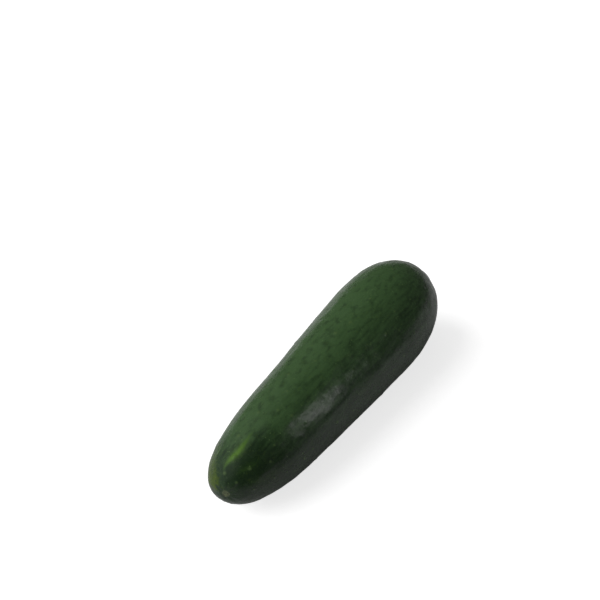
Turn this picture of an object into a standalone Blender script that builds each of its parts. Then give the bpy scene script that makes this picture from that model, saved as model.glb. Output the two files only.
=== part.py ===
"""A fresh slicing cucumber lying on its side, grown as one piece.

The blossom end, the thinner one, points to -X and the stem end to +X. The origin is on the surface that
the fruit lies on, under the middle of its bounding box. All lengths are in metres.
"""

from math import atan, cos, pi, radians, sin

import bmesh
import bpy
import numpy as np
from mathutils import Matrix, Vector

# The fruit's length, and its radius at both ends before they are rounded off.
LENGTH = 0.197
BLOSSOM_RADIUS = 0.0219
STEM_RADIUS = 0.0334
# Each end is rounded off over this length. A higher bluntness gives a flatter end.
BLOSSOM_CAP = 0.060
BLOSSOM_BLUNTNESS = 2.5
STEM_CAP = 0.058
STEM_BLUNTNESS = 2.25
# The centreline bows towards -Y by this much at mid-length.
BOW = 0.0015
# The cross-section: three seed chambers make it faintly three-sided, with shallow ridges over them.
LOBES = 3
LOBE_HEIGHT = 0.0005
RIDGES = 9
RIDGE_HEIGHT = 0.0002
# The dished scar where the flower dropped off. It sits off the axis by this much in Y and in Z.
SCAR_RADIUS = 0.0045
SCAR_DEPTH = 0.0007
SCAR_PLACE = (-0.0040, 0.0030)
# The dimple round the stem, and the stub of stem left when the fruit was cut from the vine.
DIMPLE_RADIUS = 0.0105
DIMPLE_DEPTH = 0.0020
STUB_RADIUS = 0.0034
STUB_LENGTH = 0.0034
STUB_TAPER = 0.0003
# The fruit settles on a small flat, this deep.
REST_FLAT_DEPTH = 0.0003

# How finely the skin is divided, along the fruit and round it.
RINGS = 50
STEPS_PER_RIDGE = 6
OUTLINE_STEPS = 4000

# Edges that turn by more than this are drawn sharp: the stub's rim and the edge of the flat.
SHARP_EDGE = radians(35)

SKIN_COLOUR = (0.022, 0.060, 0.020, 1.0)
SKIN_ROUGHNESS = 0.38


def clear_scene():
    for obj in list(bpy.data.objects):
        bpy.data.objects.remove(obj, do_unlink=True)


def rounding(distance, cap, bluntness):
    """1 away from an end, falling to 0 at it along a superellipse."""
    within = np.clip(1 - distance / cap, 0, 1)
    return (1 - within**bluntness) ** (1 / bluntness)


def girth(x):
    """The fruit's mean radius at a distance x from its blossom end."""
    taper = BLOSSOM_RADIUS + (STEM_RADIUS - BLOSSOM_RADIUS) * x / LENGTH
    blossom_end = rounding(x, BLOSSOM_CAP, BLOSSOM_BLUNTNESS)
    stem_end = rounding(LENGTH - x, STEM_CAP, STEM_BLUNTNESS)
    return taper * blossom_end * stem_end


def dish(radius, rim_radius, depth):
    """How far a round dish is sunk at a radius from its middle."""
    return depth * (1 + np.cos(pi * np.clip(radius / rim_radius, 0, 1))) / 2


def skin_outline():
    """The outline from the blossom end to the foot of the stub, as distances along the fruit and radii."""
    x = LENGTH * (1 - np.cos(np.linspace(0, pi, OUTLINE_STEPS))) / 2
    radius = girth(x)
    near_stem = x > LENGTH / 2
    sunk = np.where(near_stem, dish(radius, DIMPLE_RADIUS, DIMPLE_DEPTH), 0)
    outside_stub = ~near_stem | (radius > STUB_RADIUS)
    return (x - sunk)[outside_stub], radius[outside_stub]


def outline_rings():
    """The skin's rings, spaced closer towards both ends. The first one is a single point."""
    x, radius = skin_outline()
    travelled = np.concatenate([[0], np.cumsum(np.hypot(np.diff(x), np.diff(radius)))])
    stations = travelled[-1] * (1 - np.cos(np.linspace(0, pi, RINGS))) / 2
    return list(zip(np.interp(stations, travelled, x), np.interp(stations, travelled, radius)))


def relief(radius, angle):
    """How far the lobes and ridges stand out at an angle. They fade towards both ends.

    The furrow between two lobes and the one between two ridges both run along the underside, so the fruit
    doesn't roll.
    """
    above_underside = angle + pi / 2
    lobes = -LOBE_HEIGHT * cos(LOBES * above_underside)
    ridges = -RIDGE_HEIGHT * cos(RIDGES * above_underside)
    return (lobes + ridges) * (radius / STEM_RADIUS)


def skin_point(x, y, z):
    """A point of the skin, sunk where it is on the blossom scar."""
    from_scar = np.hypot(y - SCAR_PLACE[0], z - SCAR_PLACE[1])
    sunk = dish(from_scar, SCAR_RADIUS, SCAR_DEPTH) if x < BLOSSOM_CAP else 0
    return Vector((x + sunk, y, z))


def ring_points(x, radius, relief_share=1.0):
    """One ring of points, counted round the fruit from +Y towards +Z."""
    middle = -BOW * (1 - (2 * x / LENGTH - 1) ** 2)
    steps = RIDGES * STEPS_PER_RIDGE
    points = []
    for step in range(steps):
        angle = 2 * pi * step / steps
        reach = radius + relief_share * relief(radius, angle)
        points.append(skin_point(x, middle + reach * cos(angle), reach * sin(angle)))
    return points


def join_rings(mesh, first, second):
    """Quads between two rings, facing out where the second one is further towards the stem."""
    for i in range(len(first)):
        j = (i + 1) % len(first)
        mesh.faces.new((first[i], first[j], second[j], second[i]))


def close_end(mesh, ring, tip, towards_stem):
    for i in range(len(ring)):
        j = (i + 1) % len(ring)
        corners = (ring[i], ring[j], tip)
        mesh.faces.new(corners if towards_stem else corners[::-1])


def fruit_mesh():
    """The whole fruit as one closed surface, its axis along +X."""
    mesh = bmesh.new()
    (tip_x, _), *skin = outline_rings()
    foot_x = skin[-1][0]
    face_x = foot_x + STUB_LENGTH

    rings = [ring_points(x, radius) for x, radius in skin]
    rings.append(ring_points(face_x, STUB_RADIUS - STUB_TAPER, relief_share=0))
    rings = [[mesh.verts.new(point) for point in ring] for ring in rings]
    for first, second in zip(rings, rings[1:]):
        join_rings(mesh, first, second)

    close_end(mesh, rings[0], mesh.verts.new(skin_point(tip_x, 0, 0)), towards_stem=False)
    close_end(mesh, rings[-1], mesh.verts.new((face_x, 0, 0)), towards_stem=True)
    return mesh


def resting_lean():
    """The angle that levels the underside below the centre of mass. The thinner end comes down."""
    x = np.linspace(0, LENGTH, OUTLINE_STEPS)
    section = girth(x) ** 2
    balance = (x * section).sum() / section.sum()
    step = LENGTH / OUTLINE_STEPS
    return atan((girth(balance + step) - girth(balance - step)) / (2 * step))


def lay_down(mesh):
    """Leans the fruit as it rests, flattens it where it touches, and centres it over the origin."""
    bmesh.ops.rotate(mesh, verts=mesh.verts, matrix=Matrix.Rotation(-resting_lean(), 3, "Y"))
    flat_z = min(vert.co.z for vert in mesh.verts) + REST_FLAT_DEPTH
    everything = mesh.verts[:] + mesh.edges[:] + mesh.faces[:]
    cut = bmesh.ops.bisect_plane(
        mesh, geom=everything, plane_co=(0, 0, flat_z), plane_no=(0, 0, -1), clear_outer=True
    )
    rim = [item for item in cut["geom_cut"] if isinstance(item, bmesh.types.BMEdge)]
    bmesh.ops.holes_fill(mesh, edges=rim)
    low = Vector([min(vert.co[i] for vert in mesh.verts) for i in range(3)])
    high = Vector([max(vert.co[i] for vert in mesh.verts) for i in range(3)])
    middle = (low + high) / 2
    bmesh.ops.translate(mesh, verts=mesh.verts, vec=(-middle.x, -middle.y, -low.z))


def skin_material():
    material = bpy.data.materials.new("cucumber_skin")
    material.use_nodes = True
    shader = material.node_tree.nodes["Principled BSDF"]
    shader.inputs["Base Color"].default_value = SKIN_COLOUR
    shader.inputs["Roughness"].default_value = SKIN_ROUGHNESS
    shader.inputs["Metallic"].default_value = 0.0
    return material


def make_cucumber():
    mesh = fruit_mesh()
    lay_down(mesh)
    bmesh.ops.recalc_face_normals(mesh, faces=mesh.faces)
    data = bpy.data.meshes.new("cucumber")
    mesh.to_mesh(data)
    mesh.free()
    data.materials.append(skin_material())
    data.shade_smooth()
    data.set_sharp_from_angle(angle=SHARP_EDGE)
    bpy.context.scene.collection.objects.link(bpy.data.objects.new("cucumber", data))


clear_scene()
make_cucumber()
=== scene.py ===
"""The looks of the cucumber: a fine skin over the CAD solid, its waxy green colours, light and camera."""

from functools import cached_property
from math import cos, pi, radians, sin, tau
from random import Random

import bpy
import numpy as np
from mathutils import Matrix, Vector, noise
from mathutils.bvhtree import BVHTree


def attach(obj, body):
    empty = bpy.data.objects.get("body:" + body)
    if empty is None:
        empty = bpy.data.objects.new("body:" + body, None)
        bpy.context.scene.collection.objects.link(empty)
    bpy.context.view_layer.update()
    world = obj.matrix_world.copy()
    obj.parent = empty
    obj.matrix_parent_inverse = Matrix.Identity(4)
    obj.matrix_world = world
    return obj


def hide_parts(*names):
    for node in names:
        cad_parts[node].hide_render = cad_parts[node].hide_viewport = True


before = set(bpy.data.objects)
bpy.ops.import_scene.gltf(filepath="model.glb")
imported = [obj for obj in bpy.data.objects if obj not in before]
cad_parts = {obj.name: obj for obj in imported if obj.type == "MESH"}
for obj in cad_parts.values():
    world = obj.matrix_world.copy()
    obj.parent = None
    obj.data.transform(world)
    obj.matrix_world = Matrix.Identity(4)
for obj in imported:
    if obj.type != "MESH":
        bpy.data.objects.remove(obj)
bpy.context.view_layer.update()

MM = 0.001

# The fine skin is a grid: rows from the blossom end to the stem, and columns round the fruit.
COLUMNS = 300
ROW_STEP = 0.8 * MM
# Both rounded ends are swept from a point on the axis, this far inside the end.
BLOSSOM_SWEEP = 24 * MM
STEM_SWEEP = 30 * MM
# The CAD solid's facets are evened out: the highest wave kept round the fruit, and the passes along it.
HIGHEST_WAVE = 8
SMOOTHING_PASSES = 60
# The stub's cut face leans. All of it is within this much of the fruit's far end.
CUT_FACE_DEPTH = 0.8 * MM

# The stub of stem. Radii are shares of the CAD stub's, and heights are shares of the stub's height.
FOOT_RADIUS = 1.35
COLLAR_RISE = 0.45
RIM_START = 0.86
RIM_WIDTH = 0.14
CUT_RINGS = (0.85, 0.68, 0.5, 0.32, 0.15)
CUT_DISH = 0.06
STUB_ANGLES = 5
STUB_ANGLE_DEPTH = 0.06

# The skin's unevenness: how high each kind of lump is, and how wide. It fades out this close to either end.
SWELLS = (0.25 * MM, 22 * MM)
DIMPLES = (0.15 * MM, 6.5 * MM)
PORES = (0.045 * MM, 2.4 * MM)
FLUTES = (0.12 * MM, 3.6 * MM)
CLEAR_END = 6 * MM

# The blossom scar's middle, off the axis by this much in Y and upwards.
SCAR_PLACE = (-4.0 * MM, 3.0 * MM)
# The colour patterns are drawn to the scar, less and less up to this far from the blossom end.
SCAR_DRAWS = 28 * MM
# The scar's face stands up a little and is rough, and the skin round it is puckered.
SCAR_RISE = 0.22 * MM
SCAR_CRUST = 0.12 * MM
PUCKERS = 9
PUCKER_HEIGHT = 0.09 * MM

# The folds that run up to the stub lie on the CAD solid's ridges. The stub itself is rough where it was torn.
RIDGES = 9
FIRST_RIDGE = -pi / 2 + pi / RIDGES
FOLD_HEIGHT = 0.16 * MM
TORN_HEIGHT = 0.22 * MM

# Low bumps where the young fruit had its spines. They usually stray from a ridge by this much of a radian.
WARTS = 170
WART_STRAY = 0.14
WART_SPACING = 5 * MM
WART_FROM_TIP = 14 * MM
WART_FROM_STUB = 10 * MM
WART_RADII = (1.1 * MM, 2.3 * MM)
WART_HEIGHTS = (0.07 * MM, 0.24 * MM)

# One side grew away from the sun and is paler, and the pale streaks show most on it. It also faces the key
# light, and is painted lighter there as painted light.
PALE_LIT_SIDE = radians(70)
# The side that is painted darkest, as painted shade away from the key light.
SHADED_SIDE = PALE_LIT_SIDE + radians(160)
STREAKS = 10
# The streak that shows most. All of them bend this much where they set out from the blossom end.
MAIN_STREAK = radians(93)
MAIN_STREAK_END = 44 * MM
STREAK_ENDS = (28 * MM, 62 * MM)
STREAK_BEND = radians(18)
# The yellow-green patch beside the blossom scar: its middle, and where it fades out each way round.
RIPE_MIDDLE = radians(20)
RIPE_EDGE = (radians(10), radians(56))

# The room is dim but for one bright side, to the camera's left. The key light is a little higher there.
BRIGHT_SIDE = Vector((-0.60, 0.62, 0.55))
ROOM_DIM = 0.09
ROOM_BRIGHT = 0.55
# The bright side's edge and its middle, as cosines of the angle from its direction.
ROOM_EDGE = (0.25, 0.98)
KEY_SIDE = BRIGHT_SIDE + Vector((0, 0, 0.15))
KEY_STRENGTH = 2.8
KEY_SPREAD = radians(55)
# A narrow softbox close to the fruit, on the camera's right, gives the long highlight.
SOFTBOX_PLACE = Vector((0.052, -0.215, 0.153))
SOFTBOX_TARGET = Vector((-0.055, -0.020, 0.048))
SOFTBOX_SIZE = (0.025, 0.13)
SOFTBOX_WATTS = 0.055
# A round pale table, just below the fruit's flat.
FLOOR_RADIUS = 0.7
FLOOR_STEPS = 96
FLOOR_DROP = 0.2 * MM
FLOOR_GREY = (0.60, 0.60, 0.60, 1)
FLOOR_GLOW = 0.72

# The camera looks along the fruit from its blossom end, and down on it.
AZIMUTH = radians(-54.6)
ELEVATION = radians(42)
CAMERA_DISTANCE = 0.8
CAMERA_AIM = Vector((0.0414, 0.0486, 0.0308))
LENS = 79.76


# ---------------------------------------------------------------- shape


class Axis:
    """The fruit's own axis in the frame, found from the cut face of its stub."""

    def __init__(self, surface, points):
        face = points[points[:, 0] > points[:, 0].max() - CUT_FACE_DEPTH]
        middle = face.mean(axis=0)
        outside = Vector(middle) + Vector((10 * MM, 0, 0))
        self.stub_face, self.direction, _, _ = surface.ray_cast(outside, Vector((-1, 0, 0)))
        self.stub_radius = float(np.linalg.norm(face - middle, axis=1).max())
        self.side = Vector((0, 1, 0))
        self.up = self.direction.cross(self.side).normalized()
        inside = self.stub_face - self.direction * STEM_SWEEP
        self.blossom = surface.ray_cast(inside, -self.direction)[0]
        self.length = (self.stub_face - self.blossom).length

    def at(self, distance):
        """The point on the axis this far from the blossom end."""
        return self.blossom + self.direction * distance

    def out(self, angle):
        """The direction away from the axis: 0 is +Y, and a quarter turn is up."""
        return self.side * cos(angle) + self.up * sin(angle)


def sweep_rows(axis):
    """Each row's start on the axis, and its turn: 0 points at the blossom end, and pi at the stem."""
    straight_end = axis.length - STEM_SWEEP
    blossom_rows = round(BLOSSOM_SWEEP * pi / 2 / ROW_STEP)
    straight_rows = round((straight_end - BLOSSOM_SWEEP) / ROW_STEP)
    stem_rows = round(STEM_SWEEP * pi / 2 / ROW_STEP)
    rows = [(BLOSSOM_SWEEP, pi / 2 * i / blossom_rows) for i in range(1, blossom_rows)]
    for i in range(straight_rows):
        rows.append((BLOSSOM_SWEEP + (straight_end - BLOSSOM_SWEEP) * i / straight_rows, pi / 2))
    rows += [(straight_end, pi / 2 + pi / 2 * i / stem_rows) for i in range(stem_rows)]
    return rows


def evened(reach):
    """The same surface without the CAD solid's facets. Both ends keep more of their detail."""
    waves = np.fft.rfft(reach, axis=1)
    waves[:, HIGHEST_WAVE + 1:] = 0
    reach = np.fft.irfft(waves, n=reach.shape[1], axis=1)
    share = np.sin(np.linspace(0, pi, len(reach)))[1:-1, None] ** 2
    for _ in range(SMOOTHING_PASSES):
        reach[1:-1] += share * ((reach[:-2] + reach[2:]) / 2 - reach[1:-1]) / 2
    return reach


def skin_rows(surface, axis, outward, angles):
    """Points of the smooth skin, row by row, from near the blossom end to the foot of the stub."""
    rows = sweep_rows(axis)
    turn = np.array([row[1] for row in rows])
    reach = np.zeros((len(rows), len(angles)))
    for i, (start, row_turn) in enumerate(rows):
        for j, angle in enumerate(angles):
            direction = axis.out(angle) * sin(row_turn) - axis.direction * cos(row_turn)
            reach[i, j] = surface.ray_cast(axis.at(start), direction)[3]
    clear_of_stub = (turn <= pi / 2) | (reach.mean(axis=1) * np.sin(turn) > FOOT_RADIUS * axis.stub_radius)
    turn = turn[clear_of_stub][:, None, None]
    start = np.array([axis.at(row[0]) for row in rows])[clear_of_stub][:, None, :]
    direction = outward * np.sin(turn) - np.array(axis.direction) * np.cos(turn)
    return start + evened(reach[clear_of_stub])[..., None] * direction


def quarter_turn(steps):
    """The angles of a quarter turn in steps, without its start."""
    return np.linspace(0, pi / 2, steps + 1)[1:]


def stub_profile():
    """The stub from its foot to the middle of its cut face, as shares of its radius and height."""
    collar = [
        (1 + (FOOT_RADIUS - 1) * (1 - sin(turn)), COLLAR_RISE * (1 - cos(turn)))
        for turn in quarter_turn(7)
    ]
    wall = [(1.0, height) for height in np.linspace(COLLAR_RISE, RIM_START, 4)[1:]]
    rim = [
        (1 - RIM_WIDTH * (1 - cos(turn)), RIM_START + (1 - RIM_START) * sin(turn))
        for turn in quarter_turn(4)
    ]
    inner = 1 - RIM_WIDTH
    face = [(inner * share, 1 - CUT_DISH * (1 - share**2)) for share in CUT_RINGS]
    return collar + wall + rim + face


def stub_rows(axis, outward, angles, foot):
    """Rows up the stub and over its cut face, from the last row of the skin."""
    direction = np.array(axis.direction)
    foot_along = (foot - np.array(axis.blossom)) @ direction
    foot_radius = np.linalg.norm(foot - np.array(axis.blossom) - foot_along[:, None] * direction, axis=1)
    height = axis.length - foot_along
    rows = []
    for radius_share, height_share in stub_profile():
        angled = 1 + STUB_ANGLE_DEPTH * np.cos(STUB_ANGLES * angles) * min(height_share / COLLAR_RISE, 1)
        at_foot = max(radius_share - 1, 0) / (FOOT_RADIUS - 1)
        radius = axis.stub_radius * min(radius_share, 1) * angled
        radius = radius + (foot_radius - axis.stub_radius) * at_foot
        along = foot_along + height * height_share
        middle = np.array(axis.blossom) + along[:, None] * direction
        rows.append(middle + radius[:, None] * outward)
    return np.array(rows)


class Skin:
    """The fine grid over the fruit, and what places each of its points."""

    def __init__(self, surface, axis):
        self.angles = np.linspace(0, tau, COLUMNS, endpoint=False)
        outward = np.array([axis.out(angle) for angle in self.angles])
        skin = skin_rows(surface, axis, outward, self.angles)
        stub = stub_rows(axis, outward, self.angles, skin[-1])
        self.tip = np.array(axis.blossom)
        self.grid = np.concatenate([skin, stub])
        self.stub_start = len(skin)

        # How far each row is from the blossom end, along the skin.
        steps = np.linalg.norm(np.diff(self.grid, axis=0), axis=2).mean(axis=1)
        first = np.linalg.norm(self.grid[0] - self.tip, axis=1).mean()
        self.travelled = first + np.concatenate([[0], np.cumsum(steps)])
        self.skin_length = self.travelled[self.stub_start - 1]

        # How far each point is from the axis, and how far up the stub its row is, from 0 to 1.
        offset = self.grid - self.tip
        along = offset @ np.array(axis.direction)
        self.radius = np.linalg.norm(offset - along[..., None] * np.array(axis.direction), axis=2)
        on_stub = np.arange(len(self.grid)) - self.stub_start + 1
        self.on_stub = np.clip(on_stub / len(stub), 0, 1)[:, None] * np.ones(COLUMNS)
        self.turn, self.spread, self.from_scar = self.drawn_to_scar()

    def from_tip(self):
        """How far each point is from the blossom end, along the skin."""
        return self.travelled[:, None] * np.ones(COLUMNS)

    def from_stub(self):
        """How far each point of the skin is from the foot of the stub, along the skin."""
        return np.clip(self.skin_length - self.travelled, 0, None)[:, None] * np.ones(COLUMNS)

    def drawn_to_scar(self):
        """Each point's angle, radius and distance as the colours have them: near the tip, about the scar."""
        from_tip = self.from_tip()
        pull = 1 - fade_in(from_tip, 0, SCAR_DRAWS)
        side = self.radius * np.cos(self.angles) - pull * SCAR_PLACE[0]
        up = self.radius * np.sin(self.angles) - pull * SCAR_PLACE[1]
        spread = np.hypot(side, up)
        return np.arctan2(up, side), spread, np.clip(from_tip + spread - self.radius, 0, None)

    def turn_from(self, angle):
        """How far round the fruit each point is from an angle, from minus pi to pi."""
        return (self.turn - angle + pi) % tau - pi

    def to_scar(self):
        """How far each point is from the middle of the blossom scar, in a straight line."""
        # The spread is nothing at the stem end too, so the distance from the tip counts as well.
        nearest = np.argmin((self.spread + 0.2 * self.from_tip()).ravel())
        middle = self.grid.reshape(-1, 3)[nearest]
        return np.linalg.norm(self.grid - middle, axis=2)

    def grain(self, along=1.0):
        """Coordinates for patterns that run lengthwise and draw together at both ends.

        The smaller the share along the fruit is, the longer a pattern's lumps are.
        """
        least_reach = 8 * MM
        reach = np.hypot(self.spread, least_reach)
        across = [reach * np.cos(self.turn), reach * np.sin(self.turn)]
        return np.stack([*across, self.from_scar * along], axis=2)

    def normals(self):
        """The direction out of the skin at each point."""
        along = np.gradient(self.grid, axis=0)
        around = np.roll(self.grid, -1, axis=1) - np.roll(self.grid, 1, axis=1)
        normal = np.cross(around, along)
        return normal / np.linalg.norm(normal, axis=2, keepdims=True)

    def raise_by(self, height):
        """Moves each point out by a height, and keeps the underside from going below the frame's floor."""
        self.grid = self.grid + height[..., None] * self.normals()
        self.grid[..., 2] = np.maximum(self.grid[..., 2], 0.0)


def smooth_noise(points, size, seed):
    """Noise from about -1 to 1 at each point, with lumps of this size."""
    shift = Vector((seed * 17.3, seed * 5.1, seed * 9.7))
    values = [noise.noise(Vector(point) / size + shift) for point in points.reshape(-1, 3)]
    return np.array(values).reshape(points.shape[:2])


def fade_in(distance, start, end):
    """0 up to the start, 1 from the end on, and smooth between them."""
    share = np.clip((distance - start) / (end - start), 0, 1)
    return share * share * (3 - 2 * share)


def band(distance, rise, fall):
    """1 between two edges. It rises over the first pair of distances and falls over the second pair."""
    return fade_in(distance, *rise) * (1 - fade_in(distance, *fall))


def lumps(points, kind, seed):
    """Relief made of one kind of lump."""
    height, size = kind
    return height * smooth_noise(points, size, seed)


def skin_relief(skin):
    """The skin's unevenness: slow swells, small dimples, pores, and faint flutes along the fruit."""
    relief = lumps(skin.grid, SWELLS, seed=1)
    relief += lumps(skin.grid, DIMPLES, seed=2)
    relief += lumps(skin.grid, PORES, seed=3)
    relief += lumps(skin.grain(0.12), FLUTES, seed=4)
    return relief * fade_in(skin.from_stub(), 0, CLEAR_END) * fade_in(skin.from_tip(), 0, CLEAR_END)


def scar_relief(skin):
    """The puckered skin round the blossom scar, and the scar's own rough face."""
    distance = skin.to_scar()
    folds = np.cos(PUCKERS * skin.turn + 2.5 * smooth_noise(skin.grid, 5 * MM, seed=5))
    pucker = band(distance, (1.8 * MM, 3.5 * MM), (5 * MM, 10 * MM))
    rough = 1 - fade_in(distance, 1.6 * MM, 2.8 * MM)
    crust = smooth_noise(skin.grid, 1.1 * MM, seed=6)
    return PUCKER_HEIGHT * folds * pucker + (SCAR_RISE + SCAR_CRUST * crust) * rough


def stem_relief(skin):
    """The shallow folds that run up to the stub, and the stub's own rough wall and face."""
    distance = skin.from_stub()
    folds = np.cos(RIDGES * (skin.angles - FIRST_RIDGE) + 2 * smooth_noise(skin.grid, 15 * MM, seed=7))
    near_stub = band(distance, (1 * MM, 6 * MM), (9 * MM, 24 * MM))
    torn = smooth_noise(skin.grid, 1.1 * MM, seed=8)
    return FOLD_HEIGHT * folds * near_stub + TORN_HEIGHT * torn * fade_in(skin.on_stub, 0.1, 0.5)


def wart_places(skin, random):
    """The warts' middles, mostly along the ridges, none too close to another or to an end."""
    places = []
    while len(places) < WARTS:
        row = random.randrange(skin.stub_start)
        ridge = FIRST_RIDGE + tau * random.randrange(RIDGES) / RIDGES
        angle = (ridge + random.gauss(0, WART_STRAY)) % tau
        point = skin.grid[row, round(angle / tau * COLUMNS) % COLUMNS]
        from_tip = skin.travelled[row]
        from_stub = skin.skin_length - from_tip
        clear = all(np.linalg.norm(point - place) > WART_SPACING for place in places)
        if from_tip > WART_FROM_TIP and from_stub > WART_FROM_STUB and clear:
            places.append(point)
    return places


def wart_relief(skin):
    """Low round warts. Returns their height, and how near each point is to a wart's tip, from 0 to 1."""
    random = Random(7)
    height = np.zeros(skin.grid.shape[:2])
    nearness = np.zeros(skin.grid.shape[:2])
    for place in wart_places(skin, random):
        radius = random.uniform(*WART_RADII)
        peak = random.uniform(*WART_HEIGHTS)
        share = np.clip(1 - (np.linalg.norm(skin.grid - place, axis=2) / radius) ** 2, 0, 1)
        height += peak * share**2
        nearness = np.maximum(nearness, share**3)
    return height, nearness


def skin_mesh(skin):
    """One closed mesh from the grid, with a point at each end."""
    rows = len(skin.grid)
    points = [tuple(skin.tip)] + [tuple(point) for point in skin.grid.reshape(-1, 3)]
    points.append(tuple(skin.grid[-1].mean(axis=0)))
    faces = []
    for i in range(COLUMNS):
        j = (i + 1) % COLUMNS
        faces.append((0, 1 + j, 1 + i))
        for row in range(rows - 1):
            low, high = 1 + row * COLUMNS, 1 + (row + 1) * COLUMNS
            faces.append((low + i, low + j, high + j, high + i))
        last = 1 + (rows - 1) * COLUMNS
        faces.append((last + i, last + j, len(points) - 1))
    mesh = bpy.data.meshes.new("cucumber_skin")
    mesh.from_pydata(points, [], faces)
    mesh.shade_smooth()
    return mesh


def store(mesh, name, values):
    """Keeps one number or one vector for each point of the grid. Both end points copy their row."""
    flat = values.reshape(len(mesh.vertices) - 2, -1)
    flat = np.concatenate([flat[:1], flat, flat[-1:]])
    is_vector = flat.shape[1] == 3
    attribute = mesh.attributes.new(name, "FLOAT_VECTOR" if is_vector else "FLOAT", "POINT")
    attribute.data.foreach_set("vector" if is_vector else "value", flat.ravel())


# ---------------------------------------------------------------- colour patterns


def streak_pattern(skin):
    """Pale streaks that start near the blossom scar and fade out along the fruit.

    The first one is the main streak. The others show most on the pale side.
    """
    random = Random(21)
    wander = 0.25 * MM * smooth_noise(skin.grain(0.5), 9 * MM, seed=9)
    bend = streak_bend(skin)
    pattern = np.zeros(skin.grid.shape[:2])
    for i in range(STREAKS):
        angle = MAIN_STREAK + tau * i / STREAKS + (random.gauss(0, 0.09) if i else 0)
        paleness = (0.5 + 0.5 * cos(angle - PALE_LIT_SIDE)) ** 2
        strength = random.uniform(0.75, 1.0) * (0.06 + 0.40 * paleness) if i else 1.0
        end = random.uniform(*STREAK_ENDS) if i else MAIN_STREAK_END
        ends = band(skin.from_scar, (11 * MM, 25 * MM), (0.6 * end, end))
        width = (0.6 + 0.8 * ends) * random.uniform(0.9, 1.1) * MM
        across = np.abs(skin.turn_from(angle) * skin.spread + bend + wander) / width
        profile = 0.6 * np.exp(-(across**2)) + 0.4 * np.exp(-((across / 2.4) ** 2))
        pattern = np.maximum(pattern, strength * profile * ends)
    return pattern


def streak_bend(skin):
    """How far the streaks have bent off their line, round the fruit. They straighten out farther on."""
    return STREAK_BEND * (1 - fade_in(skin.from_scar, 11 * MM, 29 * MM)) * skin.spread


def shaded_cheek(skin):
    """Painted shade on the side of the main streak away from the key light, near the blossom end."""
    beside = fade_in(skin.turn_from(MAIN_STREAK) * skin.spread + streak_bend(skin), 0.5 * MM, 4.5 * MM)
    along = band(skin.from_scar, (3 * MM, 9 * MM), (26 * MM, 55 * MM))
    return beside * along * (1 - fade_in(skin.turn_from(MAIN_STREAK), radians(110), radians(160)))


def pale_and_lit_pattern(skin):
    """How pale each point is: most on the pale side, which is paler in itself and also painted lighter as if
    lit by the key light, but not near the blossom scar, and darker in the painted shade beside the main
    streak.
    """
    facing = (0.5 + 0.5 * np.cos(skin.turn_from(PALE_LIT_SIDE))) ** 1.6
    return facing * fade_in(skin.from_scar, 10 * MM, 42 * MM) * (1 - 0.85 * shaded_cheek(skin))


def ripe_pattern(skin):
    """The yellow-green patch beside the blossom scar, on the pale side."""
    uneven = radians(12) * smooth_noise(skin.grid, 5 * MM, seed=11)
    facing = 1 - fade_in(np.abs(skin.turn_from(RIPE_MIDDLE) + uneven), *RIPE_EDGE)
    distance = skin.from_scar + 7 * MM * smooth_noise(skin.grain(0.15), 3.5 * MM, seed=12)
    return facing * band(distance, (1 * MM, 6 * MM), (8 * MM, 36 * MM))


def painted_shade_pattern(skin):
    """Painted shade: how dark each point is painted, most on the side away from the key light and beside the
    main streak. It is also darker near the blossom end.
    """
    facing = 0.5 + 0.5 * np.cos(skin.turn_from(SHADED_SIDE))
    near_tip = 1 - fade_in(skin.from_scar, 20 * MM, 80 * MM)
    return np.clip(0.45 * near_tip + 0.8 * facing + 0.6 * shaded_cheek(skin), 0, 1)


def scar_pattern(skin):
    """Where the corky blossom scar is, with an uneven edge."""
    uneven = 0.7 * MM * smooth_noise(skin.grid, 2.5 * MM, seed=10)
    return 1 - fade_in(skin.to_scar() + uneven, 1.4 * MM, 2.9 * MM)


# ---------------------------------------------------------------- materials


# The colour sockets of a Mix node, by number, as its kinds of socket share their names.
MIX_SHARE, MIX_UNDER, MIX_OVER, MIX_RESULT = 0, 6, 7, 2


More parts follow.
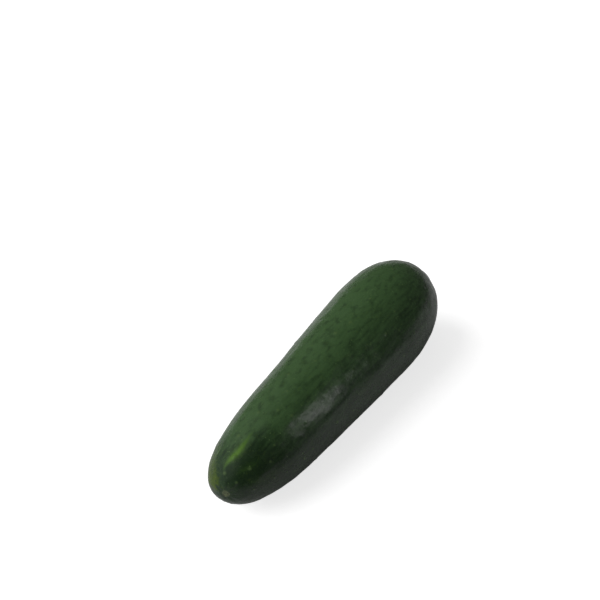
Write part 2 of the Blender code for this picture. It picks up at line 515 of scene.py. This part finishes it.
class Shade:
    """Short names for the shader nodes that a material is made of."""

    def __init__(self, name):
        self.material = bpy.data.materials.new(name)
        self.material.use_nodes = True
        self.tree = self.material.node_tree
        self.inputs = self.tree.nodes["Principled BSDF"].inputs

    @cached_property
    def place(self):
        """Where each point is on the piece, in metres."""
        return self.node("ShaderNodeTexCoord").outputs["Object"]

    @cached_property
    def grain(self):
        """The lengthwise coordinates that are stored on the skin."""
        return self.attribute("grain", "Vector")

    def node(self, kind, **settings):
        node = self.tree.nodes.new(kind)
        for name, value in settings.items():
            setattr(node, name, value)
        return node

    def feed(self, socket, value):
        """Links a socket to a node's output, or sets it to a plain value."""
        if isinstance(value, bpy.types.NodeSocket):
            self.tree.links.new(value, socket)
        else:
            socket.default_value = value

    def attribute(self, name, output="Fac"):
        return self.node("ShaderNodeAttribute", attribute_name=name).outputs[output]

    def lengthwise(self, along):
        """The grain with this share along the fruit. The smaller it is, the longer a pattern's lumps are."""
        node = self.node("ShaderNodeMapping")
        self.feed(node.inputs["Vector"], self.grain)
        node.inputs["Scale"].default_value = (1, 1, along)
        return node.outputs["Vector"]

    def noise(self, vector, size, detail=2.0, roughness=0.5):
        """Noise from 0 to 1, with lumps of about this size."""
        node = self.node("ShaderNodeTexNoise")
        self.feed(node.inputs["Vector"], vector)
        node.inputs["Scale"].default_value = 1 / size
        node.inputs["Detail"].default_value = detail
        node.inputs["Roughness"].default_value = roughness
        return node.outputs["Fac"]

    def cells(self, vector, size):
        """The distance to the nearest of many scattered points, as a share of their spacing."""
        node = self.node("ShaderNodeTexVoronoi")
        self.feed(node.inputs["Vector"], vector)
        node.inputs["Scale"].default_value = 1 / size
        return node.outputs["Distance"]

    def ramp(self, value, low, high, result=(0.0, 1.0)):
        """A smooth step between two levels. It falls where the low level is the higher one."""
        node = self.node("ShaderNodeMapRange", interpolation_type="SMOOTHSTEP")
        self.feed(node.inputs["Value"], value)
        rising = low < high
        node.inputs["From Min"].default_value = low if rising else high
        node.inputs["From Max"].default_value = high if rising else low
        node.inputs["To Min"].default_value = result[0] if rising else result[1]
        node.inputs["To Max"].default_value = result[1] if rising else result[0]
        return node.outputs["Result"]

    def worked_out(self, operation, first, second):
        node = self.node("ShaderNodeMath", operation=operation)
        self.feed(node.inputs[0], first)
        self.feed(node.inputs[1], second)
        return node.outputs["Value"]

    def times(self, first, second):
        return self.worked_out("MULTIPLY", first, second)

    def plus(self, first, second):
        return self.worked_out("ADD", first, second)

    def shaken(self, value, pattern, amount):
        """The value made uneven by a noise pattern."""
        return self.plus(value, self.times(self.plus(pattern, -0.5), amount))

    def over(self, under, colour, share):
        """One colour laid over another, where the share says."""
        node = self.node("ShaderNodeMix", data_type="RGBA")
        self.feed(node.inputs[MIX_SHARE], share)
        self.feed(node.inputs[MIX_UNDER], under)
        self.feed(node.inputs[MIX_OVER], colour)
        return node.outputs[MIX_RESULT]

    def bump(self, height, depth, normal=None):
        """Fine relief of this depth, in metres."""
        node = self.node("ShaderNodeBump")
        node.inputs["Distance"].default_value = depth
        self.feed(node.inputs["Height"], height)
        if normal is not None:
            self.feed(node.inputs["Normal"], normal)
        return node.outputs["Normal"]


# The first green is painted shade, used on the side away from the key light.
PAINTED_SHADE_GREEN = (0.0058, 0.0170, 0.0050, 1)
DEEP_GREEN = (0.0092, 0.0250, 0.0088, 1)
MID_GREEN = (0.0240, 0.0530, 0.0200, 1)
# The pale green is partly the pale side's own tone and partly painted light, where that side faces the key
# light.
PALE_LIT_GREEN = (0.0360, 0.0760, 0.0260, 1)
BLOTCH_GREEN = (0.0060, 0.0160, 0.0060, 1)
STREAK_GREEN = (0.0560, 0.1280, 0.0090, 1)
FLECK_GREEN = (0.1000, 0.1650, 0.0550, 1)
RIPE_GREEN = (0.0430, 0.0720, 0.0040, 1)
WART_GREEN = (0.0560, 0.0950, 0.0300, 1)
SCAR_TAN = (0.0900, 0.1100, 0.0580, 1)
SCAR_BROWN = (0.0420, 0.0460, 0.0230, 1)
STEM_GREEN = (0.0850, 0.1150, 0.0400, 1)
CUT_TAN = (0.3000, 0.2700, 0.1500, 1)
PITH_GREEN = (0.1500, 0.1700, 0.0700, 1)
# The skin's roughness, and how much rougher its dry parts are.
WAXY = (0.21, 0.33)
DRY = 0.4
WAX_IOR = 1.4
LEATHER_DEPTH = 0.06 * MM
PORE_DEPTH = 0.012 * MM


def base_colour(shade):
    """The greens: dark and mid green in streaks and clouds, painted shade on the side away from the key
    light, a pale side that is partly painted light, and dark mottles.
    """
    streaks = shade.noise(shade.lengthwise(0.16), 2.0 * MM, detail=3.0)
    clouds = shade.noise(shade.place, 9 * MM, detail=3.0)
    colour = shade.over(DEEP_GREEN, MID_GREEN, shade.ramp(streaks, 0.30, 0.80, (0.0, 0.7)))
    colour = shade.over(colour, MID_GREEN, shade.ramp(clouds, 0.42, 0.75, (0.0, 0.5)))
    # Painted shade: darker green on the side away from the key light.
    colour = shade.over(colour, PAINTED_SHADE_GREEN, shade.ramp(shade.attribute("shade"), 0.2, 1.0, (0.0, 0.75)))
    # The pale side: partly its own paler tone, partly painted light where it faces the key light.
    pale = shade.shaken(shade.attribute("pale"), streaks, 0.9)
    colour = shade.over(colour, PALE_LIT_GREEN, shade.ramp(pale, 0.15, 1.05))
    mottles = shade.noise(shade.lengthwise(0.6), 3.2 * MM, detail=4.0, roughness=0.6)
    return shade.over(colour, BLOTCH_GREEN, shade.ramp(mottles, 0.46, 0.70, (0.0, 0.50)))


def ripe_colour(shade, colour):
    """The yellow-green patch by the blossom scar, with small dark specks, over the greens."""
    speckle = shade.noise(shade.place, 1.5 * MM, detail=3.0, roughness=0.6)
    ripe = shade.shaken(shade.attribute("ripe"), speckle, 1.8)
    colour = shade.over(colour, RIPE_GREEN, shade.ramp(ripe, 0.05, 1.1, (0.0, 0.95)))
    specks = shade.ramp(shade.cells(shade.place, 1.9 * MM), 0.26, 0.12, (0.0, 0.8))
    return shade.over(colour, DEEP_GREEN, shade.times(specks, shade.attribute("ripe")))


def mark_colours(shade, colour):
    """The pale streaks, flecks and warts, over the rest of the skin's colour."""
    fine = shade.noise(shade.lengthwise(0.25), 0.7 * MM)
    streak = shade.shaken(shade.attribute("streak"), fine, 0.35)
    colour = shade.over(colour, STREAK_GREEN, shade.ramp(streak, -0.1, 1.1))
    flecks = shade.ramp(shade.cells(shade.place, 2.3 * MM), 0.19, 0.08, (0.0, 0.5))
    some = shade.ramp(shade.noise(shade.place, 7 * MM, detail=1.0), 0.46, 0.62)
    colour = shade.over(colour, FLECK_GREEN, shade.times(flecks, some))
    return shade.over(colour, WART_GREEN, shade.ramp(shade.attribute("wart"), 0.15, 1.0, (0.0, 0.75)))


def end_colours(shade, colour):
    """The corky scar at the blossom end and the cut stub at the other, over the skin's colour."""
    crust = shade.noise(shade.place, 0.9 * MM, detail=3.0)
    scar = shade.over(SCAR_BROWN, SCAR_TAN, shade.ramp(crust, 0.35, 0.62))
    colour = shade.over(colour, scar, shade.ramp(shade.attribute("scar"), 0.25, 0.8))
    stem = shade.over(STEM_GREEN, SCAR_TAN, shade.ramp(crust, 0.4, 0.65))
    colour = shade.over(colour, stem, shade.ramp(shade.attribute("stub"), 0.0, 0.25))
    cut = shade.shaken(shade.attribute("stub"), crust, 0.35)
    colour = shade.over(colour, CUT_TAN, shade.ramp(cut, 0.60, 0.80))
    return shade.over(colour, PITH_GREEN, shade.ramp(cut, 0.82, 1.0, (0.0, 0.7)))


def skin_roughness(shade):
    """Unevenly waxy skin, with a dry scar and a dry stub."""
    waxy = shade.ramp(shade.noise(shade.place, 6 * MM, detail=3.0), 0.3, 0.75, WAXY)
    dry = shade.plus(shade.attribute("scar"), shade.ramp(shade.attribute("stub"), 0.0, 0.3))
    return shade.plus(waxy, shade.times(dry, DRY))


def skin_bumps(shade):
    """Relief that is too fine for the mesh: a leathery surface with pores."""
    leathery = shade.noise(shade.place, 1.3 * MM, detail=3.0, roughness=0.6)
    pores = shade.ramp(shade.cells(shade.place, 0.9 * MM), 0.0, 0.35)
    return shade.bump(pores, PORE_DEPTH, shade.bump(leathery, LEATHER_DEPTH))


def skin_material():
    shade = Shade("cucumber_skin")
    colour = ripe_colour(shade, base_colour(shade))
    colour = end_colours(shade, mark_colours(shade, colour))
    shade.feed(shade.inputs["Base Color"], colour)
    shade.feed(shade.inputs["Roughness"], skin_roughness(shade))
    shade.feed(shade.inputs["Normal"], skin_bumps(shade))
    shade.feed(shade.inputs["IOR"], WAX_IOR)
    return shade.material


def floor_material():
    """A pale table that glows white to the camera only, so its glow doesn't veil the skin."""
    shade = Shade("studio_floor")
    shade.feed(shade.inputs["Base Color"], FLOOR_GREY)
    shade.feed(shade.inputs["Roughness"], 0.8)
    shade.feed(shade.inputs["Emission Color"], (1, 1, 1, 1))
    to_camera = shade.node("ShaderNodeLightPath").outputs["Is Camera Ray"]
    shade.feed(shade.inputs["Emission Strength"], shade.times(to_camera, FLOOR_GLOW))
    return shade.material


# ---------------------------------------------------------------- the piece


def make_skin():
    """The fine skin, with its patterns stored on its points, in place of the CAD solid."""
    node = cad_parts["cucumber"]
    points = np.array([tuple(vertex.co) for vertex in node.data.vertices])
    faces = [tuple(polygon.vertices) for polygon in node.data.polygons]
    surface = BVHTree.FromPolygons([tuple(point) for point in points], faces)
    skin = Skin(surface, Axis(surface, points))

    attributes = {
        "grain": skin.grain(),
        "streak": streak_pattern(skin),
        # The pale pattern is partly painted light, and the shade pattern is painted shade.
        "pale": pale_and_lit_pattern(skin),
        "ripe": ripe_pattern(skin),
        "shade": painted_shade_pattern(skin),
        "scar": scar_pattern(skin),
        "stub": skin.on_stub,
    }
    wart_height, attributes["wart"] = wart_relief(skin)
    skin.raise_by(skin_relief(skin) + scar_relief(skin) + stem_relief(skin) + wart_height)

    mesh = skin_mesh(skin)
    for name, values in attributes.items():
        store(mesh, name, values)
    mesh.materials.append(skin_material())
    piece = bpy.data.objects.new("cucumber_skin", mesh)
    bpy.context.scene.collection.objects.link(piece)
    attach(piece, "root")
    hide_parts("cucumber")


# ---------------------------------------------------------------- stage, light and camera


def make_floor():
    turns = [tau * i / FLOOR_STEPS for i in range(FLOOR_STEPS)]
    points = [(FLOOR_RADIUS * cos(turn), FLOOR_RADIUS * sin(turn), 0.0) for turn in turns]
    mesh = bpy.data.meshes.new("studio_floor")
    mesh.from_pydata(points, [], [tuple(range(FLOOR_STEPS))])
    mesh.materials.append(floor_material())
    floor = bpy.data.objects.new("studio_floor", mesh)
    floor.location.z = -FLOOR_DROP
    bpy.context.scene.collection.objects.link(floor)


def aimed(position, target):
    """A place and a turn that face a light or the camera at a target."""
    turn = (target - position).to_track_quat("-Z", "Y")
    return Matrix.LocRotScale(position, turn, None)


def add_softbox():
    """A small light close to the fruit, mostly for the highlight."""
    light = bpy.data.lights.new("side_softbox", "AREA")
    light.shape = "RECTANGLE"
    light.size, light.size_y = SOFTBOX_SIZE
    light.energy = SOFTBOX_WATTS
    softbox = bpy.data.objects.new("side_softbox", light)
    softbox.matrix_world = aimed(SOFTBOX_PLACE, SOFTBOX_TARGET)
    softbox.visible_camera = False
    bpy.context.scene.collection.objects.link(softbox)


def light_the_room():
    """A studio with one bright side and one dark one, which the camera sees evenly pale."""
    world = bpy.data.worlds.new("studio")
    world.use_nodes = True
    nodes, links = world.node_tree.nodes, world.node_tree.links
    facing = nodes.new("ShaderNodeVectorMath")
    facing.operation = "DOT_PRODUCT"
    facing.inputs[1].default_value = BRIGHT_SIDE.normalized()
    links.new(nodes.new("ShaderNodeTexCoord").outputs["Generated"], facing.inputs[0])
    lit = nodes.new("ShaderNodeMapRange")
    lit.interpolation_type = "SMOOTHSTEP"
    lit.inputs["From Min"].default_value, lit.inputs["From Max"].default_value = ROOM_EDGE
    lit.inputs["To Min"].default_value = ROOM_DIM
    lit.inputs["To Max"].default_value = ROOM_BRIGHT
    links.new(facing.outputs["Value"], lit.inputs["Value"])
    strength = nodes.new("ShaderNodeMix")
    links.new(nodes.new("ShaderNodeLightPath").outputs["Is Camera Ray"], strength.inputs["Factor"])
    links.new(lit.outputs["Result"], strength.inputs["A"])
    strength.inputs["B"].default_value = 1.0
    links.new(strength.outputs["Result"], nodes["Background"].inputs["Strength"])
    nodes["Background"].inputs["Color"].default_value = (1, 1, 1, 1)
    bpy.context.scene.world = world


def add_key_light():
    """A broad light from above, on the bright side, that the skin doesn't mirror."""
    light = bpy.data.lights.new("key_light", "SUN")
    light.energy = KEY_STRENGTH
    light.angle = KEY_SPREAD
    key = bpy.data.objects.new("key_light", light)
    key.matrix_world = aimed(KEY_SIDE, Vector((0, 0, 0)))
    key.visible_glossy = False
    bpy.context.scene.collection.objects.link(key)


def add_camera():
    data = bpy.data.cameras.new("camera")
    data.lens = LENS
    data.sensor_width = 36.0
    data.clip_start = 0.01
    camera = bpy.data.objects.new("camera", data)
    forward = Vector((-sin(AZIMUTH) * cos(ELEVATION), cos(AZIMUTH) * cos(ELEVATION), -sin(ELEVATION)))
    camera.matrix_world = aimed(CAMERA_AIM - forward * CAMERA_DISTANCE, CAMERA_AIM)
    bpy.context.scene.collection.objects.link(camera)
    bpy.context.scene.camera = camera


make_skin()
make_floor()
light_the_room()
add_key_light()
add_softbox()
add_camera()
bpy.context.scene.view_settings.view_transform = "Standard"
